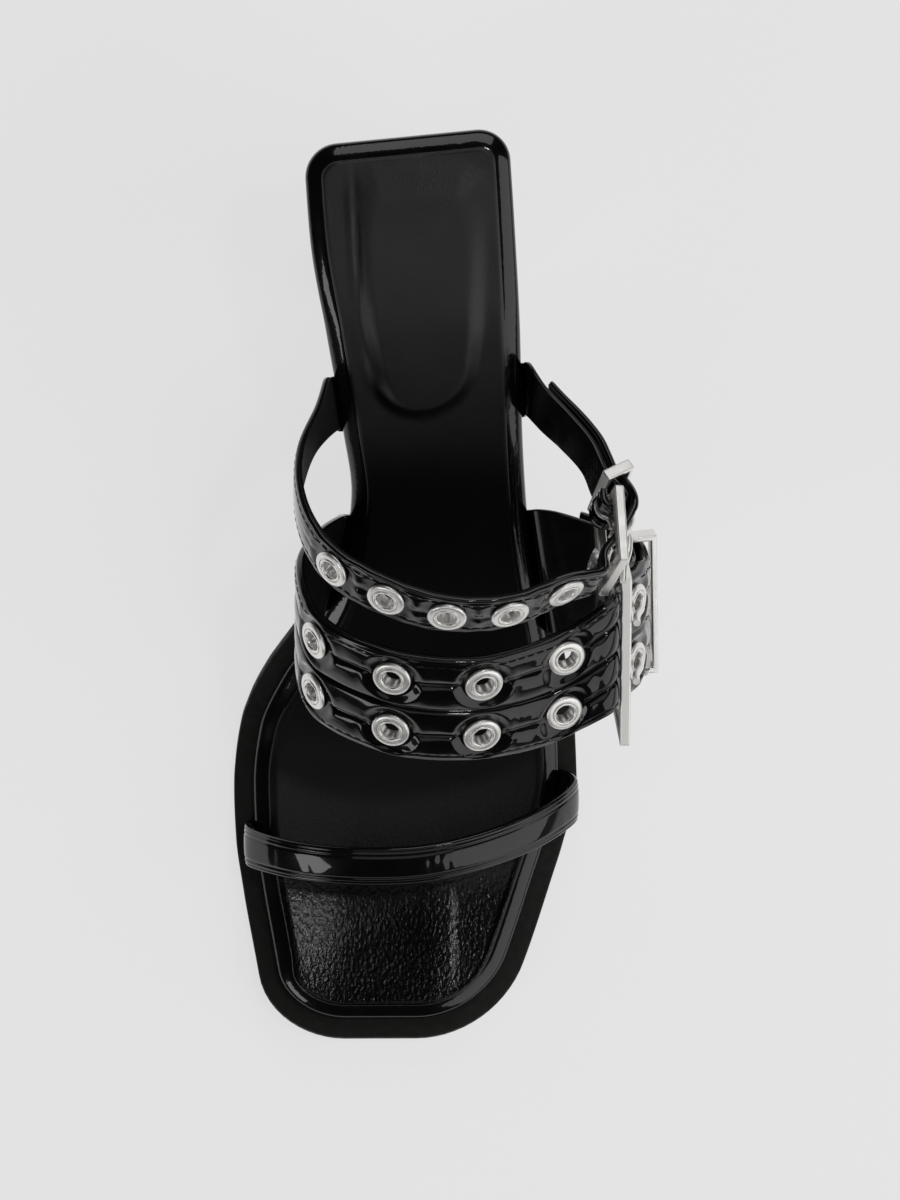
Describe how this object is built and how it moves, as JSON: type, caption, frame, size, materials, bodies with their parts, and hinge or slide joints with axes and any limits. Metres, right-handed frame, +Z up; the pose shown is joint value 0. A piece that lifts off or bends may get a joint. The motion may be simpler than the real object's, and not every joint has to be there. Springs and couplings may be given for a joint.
{
  "type": "buckle-strap mule",
  "caption": "Backless high-heeled sandal for the left foot: square toe, plain toe strap, wide padded strap and narrow instep strap with eyelets and side buckles.",
  "frame": {"origin": "centre of the bounding box, on the floor under the sole", "axes": "+Z up, -Y towards the toe, +X towards the outer side of the foot"},
  "size_m": [0.1076, 0.2304, 0.1079],
  "materials": {
    "patent_leather": "black patent, glossy",
    "matte_leather": "black, fine grain, matte",
    "sole_rubber": "black, matte",
    "heel_lacquer": "black, covered, glossy",
    "silver_metal": "satin silver"
  },
  "bodies": {
    "root": {"outsole": "sole_rubber", "footbed": "patent_leather", "insole": "matte_leather", "heel": "heel_lacquer", "heel_top_piece": "sole_rubber", "toe_strap": "patent_leather", "vamp_strap": "patent_leather", "vamp_tab": "patent_leather", "vamp_buckle_frame": "silver_metal", "vamp_prong_1": "silver_metal", "vamp_prong_2": "silver_metal", "vamp_keeper": "silver_metal", "instep_strap": "patent_leather", "instep_tab": "patent_leather", "instep_buckle_frame": "silver_metal", "instep_prong": "silver_metal", "instep_keeper": "silver_metal", "vamp_eyelet_row_1_1": "silver_metal", "vamp_eyelet_row_1_2": "silver_metal", "vamp_eyelet_row_1_3": "silver_metal", "vamp_eyelet_row_1_4": "silver_metal", "vamp_eyelet_row_1_5": "silver_metal", "vamp_eyelet_row_2_1": "silver_metal", "vamp_eyelet_row_2_2": "silver_metal", "vamp_eyelet_row_2_3": "silver_metal", "vamp_eyelet_row_2_4": "silver_metal", "vamp_eyelet_row_2_5": "silver_metal", "instep_eyelet_1": "silver_metal", "instep_eyelet_2": "silver_metal", "instep_eyelet_3": "silver_metal", "instep_eyelet_4": "silver_metal", "instep_eyelet_5": "silver_metal", "instep_eyelet_6": "silver_metal", "instep_eyelet_7": "silver_metal"}
  },
  "joints": []
}
